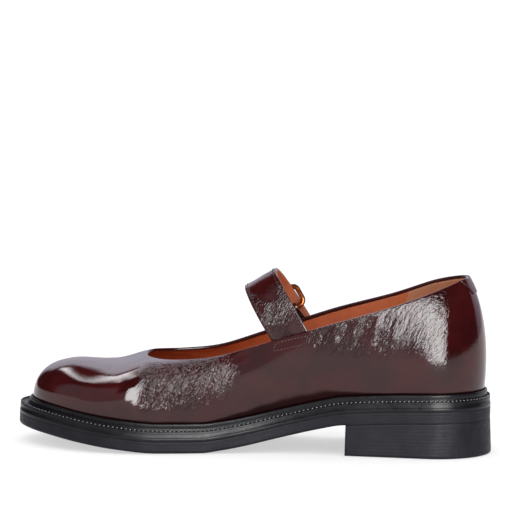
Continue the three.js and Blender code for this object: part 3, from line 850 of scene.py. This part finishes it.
def outsole():
    turns = even_turns(SOLE_COLUMNS, 0.0)
    # The lower edge is round before the heel block and sharp over it
    rounded = 0.06 + 0.94 * smooth_step(HEEL_LENGTH - 3, HEEL_LENGTH + 3, outline(turns)[:, 0])

    def ring(inset, above):
        share = rounded if above < 1.5 and inset < 2 else 1.0
        return sole_ring(turns, inset * share, above)

    rings = [
        ring(20, 0.0), ring(2.2, 0.0), ring(1.4, 0.06), ring(0.7, 0.35), ring(0.25, 0.85),
        ring(0.0, 1.5),
    ]
    for k in range(4):
        low = 1.9 + k * 0.95
        rings += [ring(0.0, low), ring(0.03, low + 0.12), ring(0.0, low + 0.24)]
    rings += [ring(0.0, 6.45), ring(0.05, 6.6), ring(0.9, 6.62)]
    piece = ring_piece("outsole_body", rings, SOLE_RUBBER)
    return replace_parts(piece, "outsole")


def heel_block():
    columns = 260
    breast = math.acos(1 - 2 * HEEL_LENGTH / SOLE_LENGTH) / (2 * math.pi)
    turns = breast * (1 - 2 * np.arange(columns) / (columns - 1))

    def ring(inset, share):
        points = inset_outline(turns, -HEEL_FLARE * (1 - share) + inset)
        under = underside_height(points[:, 0]) - 0.05
        return with_height(points, under * share)

    rings = [ring(1.0, 0.0), ring(0.4, 0.012), ring(0.08, 0.04), ring(0.0, 0.08)]
    for k in range(8):
        share = 0.13 + k * 0.1
        rings += [ring(0.0, share), ring(0.014, share + 0.008), ring(0.0, share + 0.016)]
    rings += [ring(0.0, 0.95), ring(0.0, 0.99), ring(0.06, 1.0)]
    piece = ring_piece("heel_body", rings, SOLE_RUBBER)
    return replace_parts(piece, "heel_block")


welt()
welt_beads()
outsole()
heel_block()


# Strap, chape and buckle, drawn in the plane of the strap's loop: out to the outer
# side of the foot, up along the leg of the strap, and across towards the heel
INNER_COLLAR = loop_point("collar", np.array([STRAP_TURN]))[0]
OUTER_COLLAR = loop_point("collar", np.array([1 - STRAP_TURN]))[0]
PLANE_ORIGIN = np.array([
    (INNER_COLLAR[0] + OUTER_COLLAR[0]) / 2, 0.0, (INNER_COLLAR[2] + OUTER_COLLAR[2]) / 2,
])
PLANE_AXES = np.array([
    (0.0, -1.0, 0.0),
    (math.sin(STRAP_LEAN), 0.0, math.cos(STRAP_LEAN)),
    (-math.cos(STRAP_LEAN), 0.0, math.sin(STRAP_LEAN)),
])
HALF_STRAP = STRAP_THICKNESS / 2
INSIDE_AT = INNER_COLLAR[1] - UPPER_WALL - GAP - HALF_STRAP
OUTSIDE_AT = -OUTER_COLLAR[1] + GAP + HALF_STRAP
CHAPE_WIDTH = 14.0
# Room for the chape's loop round the bar, and the half width and half thickness of
# the frame and of the prong
EYE = 2.8
FRAME_HALF = (1.5, 1.3)
PRONG_HALF = (1.0, 0.7)


def from_plane(points):
    return PLANE_ORIGIN + np.asarray(points) @ PLANE_AXES


def spline(controls, t):
    """A uniform spline through control points, at shares of its whole run."""
    controls = np.asarray(controls, float)
    last = len(controls) - 1
    place_at = np.asarray(t) * last
    first = np.clip(np.floor(place_at).astype(int), 0, last - 1)
    w = (place_at - first)[:, None]
    a, b, c, d = (controls[np.clip(first + k, 0, last)] for k in (-1, 0, 1, 2))
    return cubic(b, c, (c - a) / 2, (d - b) / 2, w)


STRAP_AT_BAR = np.array([OUTSIDE_AT - 0.3, BAR_UP])
STRAP_AT_END = np.array([OUTSIDE_AT - 4.3, BAR_UP + FRAME_LENGTH])
BAR_AT = STRAP_AT_BAR - (HALF_STRAP + 2 * GAP + EYE + 0.01, 0)
FRAME_END_AT = STRAP_AT_END + (HALF_STRAP + 4 * GAP + FRAME_HALF[1], 0)
STRAP_LINE = [
    (OUTSIDE_AT + 4.2, -STRAP_TIP_DEPTH), (OUTSIDE_AT + 1.2, 0), STRAP_AT_BAR, STRAP_AT_END,
    *[(out * (OUTSIDE_AT if out > 0 else INSIDE_AT), up * STRAP_RISE) for out, up in INSTEP],
    (-INSIDE_AT, BAR_UP), (-INSIDE_AT, 0), (-INSIDE_AT - 0.6, -STRAP_ANCHOR_DEPTH),
]


def wall_spot(x, z, outer):
    """Turn and share at which the wall passes places x and z on one side of the shoe."""
    turn = np.full(len(x), (1 - STRAP_TURN) if outer else STRAP_TURN)
    share = np.full(len(x), 0.8)
    step = 1e-3
    for _ in range(14):
        here = on_wall(turn, share)
        by_turn = (on_wall(turn + step, share) - here) / step
        by_share = (here - on_wall(turn, share - step)) / step
        dx, dz = x - here[:, 0], z - here[:, 2]
        det = by_turn[:, 0] * by_share[:, 2] - by_share[:, 0] * by_turn[:, 2]
        turn = turn + np.clip((dx * by_share[:, 2] - by_share[:, 0] * dz) / det, -0.03, 0.03)
        change = (by_turn[:, 0] * dz - dx * by_turn[:, 2]) / det
        share = np.clip(share + np.clip(change, -0.2, 0.2), 0.3, 1)
    return turn, share


def wall_side(x, z, outer):
    """How far out the wall stands at places x and z."""
    return np.abs(on_wall(*wall_spot(x, z, outer))[:, 1])


STITCH_BOX_AT = (114.2, 62.9)
STITCH_BOX_HALF = (9.6, 2.5)
STITCH_BOX_SLOPE = math.radians(15.3)


def quarter_stitches():
    """Stitched box on the inner quarter that holds the strap's hidden end."""
    around = np.linspace(0, 2 * math.pi, 400, endpoint=False)
    along, up = (
        half * np.sign(wave) * np.abs(wave) ** 0.45
        for half, wave in zip(STITCH_BOX_HALF, (np.cos(around), np.sin(around)))
    )
    run, rise = math.cos(STITCH_BOX_SLOPE), math.sin(STITCH_BOX_SLOPE)
    x = STITCH_BOX_AT[0] - along * run - up * rise
    z = STITCH_BOX_AT[1] + along * rise + up * run
    turn, share = wall_spot(x, z, outer=False)
    line = off_wall(turn, share, 0.12)
    spots, ahead = walk(line, 1.9)
    nearest = np.argmin(np.linalg.norm(spots[:, None] - line[None], axis=-1), axis=1)
    beads("quarter_stitches", spots, ahead, wall_normal(turn, share)[nearest], (1.5, 0.55, 0.5),
          THREAD, "upper_leather", 6, 3)


def strap_surface(rows, columns):
    """Middle surface of the strap, from its tip to the end inside the inner quarter."""
    t = np.linspace(0, 1, rows)
    line = spline(STRAP_LINE, t)
    across = np.linspace(-1, 1, columns) * STRAP_WIDTH / 2
    plane = np.zeros((rows, columns, 3))
    plane[..., 0] = line[:, :1]
    plane[..., 1] = line[:, 1:]
    plane[..., 2] = across
    # The leg on the inner side is a little twisted towards the heel above the collar
    up = plane[..., 1]
    twist = 0.15 * smooth_step(5, 14, up) * smooth_step(31, 21, up) * (plane[..., 0] < 0)
    plane[..., 0] += twist * plane[..., 2]
    return plane


def lay_on_wall(plane, clearance):
    """Bends a surface out of the wall's way where it passes the collar."""
    flat = plane.reshape(-1, 3).copy()
    world = from_plane(flat)
    outer = flat[:, 0] > 0
    for side, sign in ((outer, 1), (~outer, -1)):
        x, z = world[side, 0], world[side, 2]
        edge = wall_side(x, z, sign > 0)
        collar_top = on_wall_top(x, sign > 0)
        near = smooth_step(5.0, -1.0, z - collar_top)
        out = np.abs(flat[side, 0])
        limit = edge + clearance if sign > 0 else edge - UPPER_WALL - clearance
        moved = np.maximum(out, limit) if sign > 0 else np.minimum(out, limit)
        flat[side, 0] = sign * (out * (1 - near) + moved * near)
    return flat.reshape(plane.shape)


def on_wall_top(x, outer):
    """Height of the collar at places x on one side."""
    turns = np.linspace(0.0, 0.5, 400)
    points = loop_point("collar", 1 - turns if outer else turns)
    return np.interp(x, points[:, 0], points[:, 2])


def surface_normals(points):
    along = np.gradient(points, axis=0)
    across = np.gradient(points, axis=1)
    return unit(np.cross(along, across))


def slab(name, points, thickness, material, edge=0.35):
    """A sheet of leather with rounded edges round a grid of middle points."""
    rows = len(points)
    normals = surface_normals(points)
    across = unit(np.gradient(points, axis=1))
    half = thickness / 2
    angles = np.radians([60, 30, 0, -30, -60])[:, None]
    lift, push = np.sin(angles) * half, np.cos(angles) * edge
    sections = []
    for i in range(rows):
        top = points[i] + normals[i] * half
        bottom = points[i] - normals[i] * half
        right = points[i, -1] + normals[i, -1] * lift + across[i, -1] * push
        left = points[i, 0] - normals[i, 0] * lift - across[i, 0] * push
        sections.append(np.concatenate([top, right, bottom[::-1], left]))
    count = len(sections[0])
    centre_first, centre_last = points[0].mean(axis=0), points[-1].mean(axis=0)
    mesh_points = np.concatenate(sections + [centre_first[None], centre_last[None]])
    quads = grid_faces(rows, count)
    body = outward(mesh_points, quads)
    flipped = body is not quads
    faces = body.tolist()
    a, b = rows * count, rows * count + 1
    for j in range(count):
        k = (j + 1) % count
        first, last = (a, k, j), (b, (rows - 1) * count + j, (rows - 1) * count + k)
        faces.append(first[::-1] if flipped else first)
        faces.append(last[::-1] if flipped else last)
    return new_piece(name, mesh_points, faces, material)


def rounded_tip(plane, radius, reach):
    """Narrows the first rows of a strap to a rounded end."""
    distance = plane[..., 1] - plane[0, 0, 1]
    shrink = np.sqrt(np.clip(1 - (1 - np.clip(distance / reach, 0, 1)) ** 2, 0.02, 1))
    plane[..., 2] *= np.where(plane[..., 0] > 0, radius + (1 - radius) * shrink, 1)
    return plane


def strap():
    plane = rounded_tip(strap_surface(220, 25), 0.25, 7.0)
    points = from_plane(lay_on_wall(plane, GAP + HALF_STRAP))
    normals = surface_normals(points)
    if normals[len(normals) // 2, :, 2].sum() < 0:
        normals = -normals
    wave = numbers_from(points.reshape(-1, 3) / 8.0, 51).reshape(points.shape[:2])
    outer_face = points + normals * (0.28 + 0.16 * wave)[..., None]
    inner_face = points - normals * 0.66
    piece = slab("strap_leather", outer_face, 1.36, STRAP_LEATHER, 0.3)
    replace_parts(piece, "strap")
    slab("strap_lining", inner_face, 0.6, LINING, 0.12)
    for name, edge in (("front", 2), ("rear", -3)):
        line = points[6:, edge] + normals[6:, edge] * 0.98
        length = run_length(line)
        wanted = np.arange(1.0, length[-1] - 1.0, 2.3)
        spots = at_lengths(wanted, length, line)
        ahead = at_lengths(wanted + 0.4, length, line)
        up = at_lengths(wanted, length, normals[6:, edge])
        beads("strap_stitches_" + name, spots, unit(ahead - spots), up, (1.8, 0.55, 0.45),
              THREAD, "strap_leather", 6, 3)


def chape():
    """Short strap whose two layers hold the bar of the buckle in a loop."""
    steps = np.linspace(0, 1, 12)[:-2]
    leg = np.stack([BAR_AT[0] + 0.4 - 0.2 * steps, 14.5 * steps - 12.0], -1)
    around = np.radians(np.linspace(-80, 260, 26))
    loop = BAR_AT + np.stack([np.cos(around), np.sin(around)], -1) * 2.1
    line = np.concatenate([leg + (1.2, 0), loop, (leg - (0.9, 0))[::-1]])
    plane = np.zeros((len(line), 9, 3))
    plane[..., :2] = line[:, None]
    plane[..., 2] = np.linspace(-1, 1, 9) * CHAPE_WIDTH / 2
    points = from_plane(lay_on_wall(plane, GAP + 0.6))
    piece = slab("chape_leather", points, 1.1, STRAP_LEATHER, 0.2)
    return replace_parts(piece, "chape")


def buckle():
    """Rounded frame of the buckle, a ring of round section."""
    length = np.linalg.norm(FRAME_END_AT - BAR_AT)
    along = (FRAME_END_AT - BAR_AT) / length
    corner = 3.4
    side = STRAP_WIDTH / 2 + 0.6 + FRAME_HALF[0] - corner
    path = []
    for cx, cy, start in ((side, corner - 0.2, -90), (side, length - corner, 0),
                          (-side, length - corner, 90), (-side, corner - 0.2, 180)):
        for angle in np.radians(np.linspace(start, start + 90, 10)):
            path.append((cx + corner * math.cos(angle), cy + corner * math.sin(angle)))
    closed = np.array(path + path[:1])
    run = run_length(closed)
    path = at_lengths(np.arange(160) / 160 * run[-1], run, closed)
    tangent = unit(np.roll(path, -1, axis=0) - np.roll(path, 1, axis=0))
    outwards = np.stack([tangent[:, 1], -tangent[:, 0]], -1)
    normal = np.array([along[1], -along[0]])
    rings = []
    for angle in np.arange(20) / 20 * 2 * math.pi:
        flat = path + outwards * FRAME_HALF[0] * math.cos(angle)
        spots = BAR_AT + np.outer(flat[:, 1], along) + FRAME_HALF[1] * math.sin(angle) * normal
        rings.append(from_plane(np.column_stack([spots, flat[:, 0]])))
    piece = ring_piece("buckle_frame_brass", rings, BRASS, joined=True)
    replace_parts(piece, "buckle_frame")


def prong():
    """Pin from the bar through the strap to beyond the far end of the frame."""
    bend = np.array([STRAP_AT_BAR[0] + HALF_STRAP + GAP + 1.4, BAR_UP + 1])
    tip = FRAME_END_AT + (FRAME_HALF[1] + 2 * GAP + PRONG_HALF[1], 1.6)
    controls = [BAR_AT + (1.6, -0.6), bend + (-0.9, -0.5), bend + (0, 0.9), (bend + tip) / 2, tip]
    run = np.linspace(0, 1, 60)
    line = spline(controls, run)
    tangent = unit(np.gradient(line, axis=0))
    normal = np.stack([tangent[:, 1], -tangent[:, 0]], -1)
    scale = np.sqrt(np.clip(1 - (run * 2 - 1) ** 40, 0.02, 1))
    around = np.arange(14) / 14 * 2 * math.pi
    rings = []
    for i in range(len(line)):
        wide, out = PRONG_HALF[0] * scale[i] * np.cos(around), PRONG_HALF[1] * scale[i] * np.sin(around)
        rings.append(from_plane(np.column_stack([line[i] + np.outer(out, normal[i]), wide])))
    piece = ring_piece("buckle_prong_brass", rings, BRASS)
    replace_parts(piece, "buckle_prong")


strap()
quarter_stitches()
chape()
buckle()
prong()


# Heel tab
def heel_tab():
    columns, rows = 49, 15
    back = np.zeros(1)
    low = share_at_rise(back, (on_wall(back, 1.0) - feather(back))[0, 2] - TAB_DEPTH)[0]
    grid = np.zeros((columns, rows, 3))
    k = np.linspace(0, 1, rows)
    for i in range(columns):
        side = 2 * i / (columns - 1) - 1
        turn = side * (TAB_FOOT_HALF_TURN + (TAB_HALF_TURN - TAB_FOOT_HALF_TURN) * k)
        grid[i] = off_wall(turn, low + (0.985 - low) * k, 0.1 + 0.35 * TAB_THICKNESS)
    piece = slab("heel_tab_leather", grid, 0.7 * TAB_THICKNESS, STRAP_LEATHER, 0.2)
    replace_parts(piece, "heel_tab")


heel_tab()


# Stage, lights and camera
def stage():
    n = Nodes(bpy.data.materials.new("pale_floor"))
    tone = n.noise(3, 2, 0.5)
    n.finish(Base_Color=n.mix(tone, (0.45, 0.45, 0.455, 1), (0.47, 0.47, 0.47, 1)), Roughness=0.9,
             Specular_IOR_Level=0.1, Emission_Color=(1, 1, 1, 1), Emission_Strength=0.55)
    mesh = bpy.data.meshes.new("floor")
    size = 40.0
    mesh.from_pydata([(-size, -size, 0), (size, -size, 0), (size, size, 0), (-size, size, 0)], [],
                     [(0, 1, 2, 3)])
    mesh.materials.append(n.owner)
    floor = bpy.data.objects.new("floor", mesh)
    floor.location.z = -0.0002
    bpy.context.scene.collection.objects.link(floor)


def softbox(name, place_at, aim, size, brightness, only_gloss=True):
    """A rectangular soft light. brightness is what a mirror would show of it."""
    data = bpy.data.lights.new(name, "AREA")
    data.shape = "RECTANGLE"
    data.size, data.size_y = size
    data.energy = brightness * math.pi * size[0] * size[1]
    light = bpy.data.objects.new(name, data)
    light.location = place_at
    direction = Vector(aim) - Vector(place_at)
    light.rotation_euler = direction.to_track_quat("-Z", "Y").to_euler()
    light.visible_diffuse = not only_gloss
    light.visible_glossy = only_gloss
    bpy.context.scene.collection.objects.link(light)


def world():
    """Even light all round. Reflections see a dark room with three soft light fields.

    The numbers are limits on the parts of a reflection's direction.
    """
    n = Nodes(bpy.data.worlds.new("studio"), "Background")
    bpy.context.scene.world = n.owner
    x, y, z = n.parts(n.coordinates["Generated"])

    def both(first, second):
        return n.math("MULTIPLY", first, second)

    toe_side = both(n.ramp(z, 0.93, 0.75), n.ramp(x, 0.1, 0.3))
    low = n.math("MAXIMUM", toe_side, both(n.ramp(z, 0.6, 0.4), n.ramp(x, -0.64, -0.5)))
    front = both(n.ramp(y, 0.1, 0.35), low)
    behind = both(both(n.ramp(y, -0.36, -0.5), n.ramp(x, 0.52, 0.34)), n.ramp(z, 0.58, 0.47))
    window = both(
        both(n.ramp(z, 0.58, 0.64), n.ramp(y, -0.02, -0.2)),
        both(n.ramp(x, 0.12, 0.28), n.ramp(x, 0.38, 0.27)),
    )
    room = n.mix(front, (0.012, 0.011, 0.012, 1), (0.6, 0.56, 0.6, 1))
    room = n.mix(behind, room, n.mix(z, (0.5, 0.5, 0.6, 1), (2.2, 2.2, 2.5, 1)))
    room = n.mix(window, room, (6.8, 6.6, 6.8, 1))
    glossy = n.add("ShaderNodeLightPath").outputs["Is Glossy Ray"]
    n.finish(Color=n.mix(glossy, (1.25, 1.25, 1.26, 1), room))


def lights():
    softbox("key", (0.5, 0.9, 1.6), (0, 0, 0.05), (0.8, 0.8), 1.6, only_gloss=False)
    softbox("strip", (-0.325, 0.62, 0.30), (-0.09, 0, 0.20), (0.38, 0.56), 16)


# The photograph's camera: eight degrees above, a little towards the heel, rolled
CAMERA_DISTANCE = 1.8
CAMERA_AIM = (0.0, 0.0, 0.05)
CAMERA_ELEVATION = math.radians(8)
CAMERA_YAW = math.radians(3)
CAMERA_ROLL = math.radians(-1.35)
CAMERA_LENS = 220.5
CAMERA_SHIFT = (-1.27 / 512, 101.71 / 512)


def camera():
    data = bpy.data.cameras.new("camera")
    data.sensor_width = 36.0
    data.lens = CAMERA_LENS
    data.shift_x, data.shift_y = CAMERA_SHIFT
    data.clip_end = 200.0
    seen = bpy.data.objects.new("camera", data)
    bpy.context.scene.collection.objects.link(seen)
    bpy.context.scene.camera = seen
    e, w, r = CAMERA_ELEVATION, CAMERA_YAW, CAMERA_ROLL
    back = Vector((-math.sin(w) * math.cos(e), math.cos(w) * math.cos(e), math.sin(e)))
    right = Vector((-math.cos(w), -math.sin(w), 0))
    up = back.cross(right)
    right_r = right * math.cos(r) - up * math.sin(r)
    up_r = right * math.sin(r) + up * math.cos(r)
    turned = Matrix((right_r, up_r, back)).transposed()
    seen.matrix_world = Matrix.Translation(Vector(CAMERA_AIM) + back * CAMERA_DISTANCE) @ turned.to_4x4()


bpy.context.scene.view_settings.view_transform = "Standard"
stage()
world()
lights()
camera()
